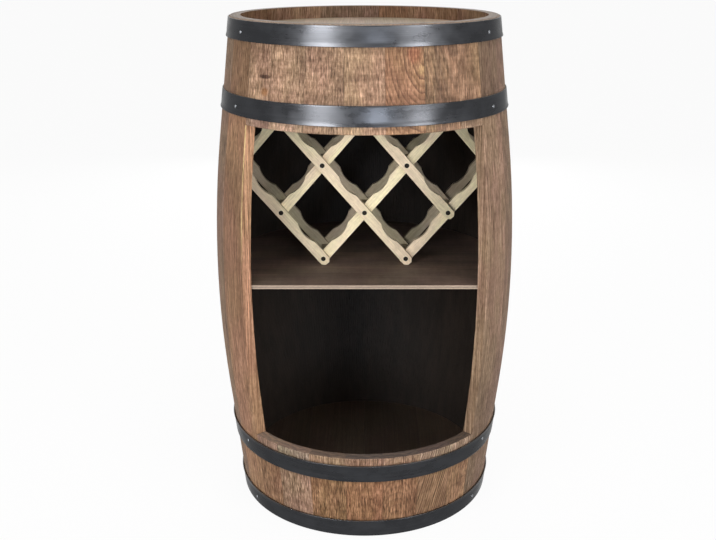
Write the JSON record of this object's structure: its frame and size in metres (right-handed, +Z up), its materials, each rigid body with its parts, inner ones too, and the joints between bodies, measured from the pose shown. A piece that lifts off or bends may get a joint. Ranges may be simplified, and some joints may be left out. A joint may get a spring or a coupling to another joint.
{
  "type": "barrel bar cabinet",
  "caption": "Coopered barrel bar cabinet with an open front, a scissor-lattice bottle rack on a shelf and a lower compartment.",
  "frame": {"origin": "on the barrel's axis, in the plane of its foot ring where it stands on the floor", "axes": "+Z up along the barrel's axis, -Y out of the open front, +X to the right seen from the front"},
  "size_m": [0.4884, 0.4722, 0.8],
  "materials": {
    "stave_wood": "aged oak staves, planed and waxed, satin",
    "head_wood": "oak head boards, waxed, satin",
    "hoop_steel": "dark grey hoop steel, satin",
    "shelf_ply": "thin brown-stained plywood, pale edge",
    "cleat_wood": "plain sawn wood",
    "rack_wood": "pale unfinished pine"
  },
  "bodies": {
    "root": {"bottom_head_board_1": "head_wood", "bottom_head_board_2": "head_wood", "bottom_head_board_3": "head_wood", "bottom_head_board_4": "head_wood", "hoop_bottom": "hoop_steel", "hoop_lower": "hoop_steel", "hoop_top": "hoop_steel", "hoop_upper": "hoop_steel", "lower_stave_1": "stave_wood", "lower_stave_2": "stave_wood", "lower_stave_3": "stave_wood", "lower_stave_4": "stave_wood", "lower_stave_5": "stave_wood", "lower_stave_6": "stave_wood", "lower_stave_7": "stave_wood", "rack_back_falling_slats": "rack_wood", "rack_back_rising_slats": "rack_wood", "rack_falling_slat_1": "rack_wood", "rack_falling_slat_2": "rack_wood", "rack_falling_slat_3": "rack_wood", "rack_falling_slat_4": "rack_wood", "rack_rising_slat_1": "rack_wood", "rack_rising_slat_2": "rack_wood", "rack_rising_slat_3": "rack_wood", "rack_rising_slat_4": "rack_wood", "rack_rods": "rack_wood", "shelf": "shelf_ply", "shelf_cleats": "cleat_wood", "stave_01": "stave_wood", "stave_02": "stave_wood", "stave_03": "stave_wood", "stave_04": "stave_wood", "stave_05": "stave_wood", "stave_06": "stave_wood", "stave_07": "stave_wood", "stave_08": "stave_wood", "stave_09": "stave_wood", "stave_10": "stave_wood", "stave_11": "stave_wood", "stave_12": "stave_wood", "stave_13": "stave_wood", "stave_14": "stave_wood", "stave_15": "stave_wood", "stave_16": "stave_wood", "stave_17": "stave_wood", "top_head_board_1": "head_wood", "top_head_board_2": "head_wood", "top_head_board_3": "head_wood", "top_head_board_4": "head_wood", "upper_stave_1": "stave_wood", "upper_stave_2": "stave_wood", "upper_stave_3": "stave_wood", "upper_stave_4": "stave_wood", "upper_stave_5": "stave_wood", "upper_stave_6": "stave_wood", "upper_stave_7": "stave_wood"}
  },
  "joints": []
}
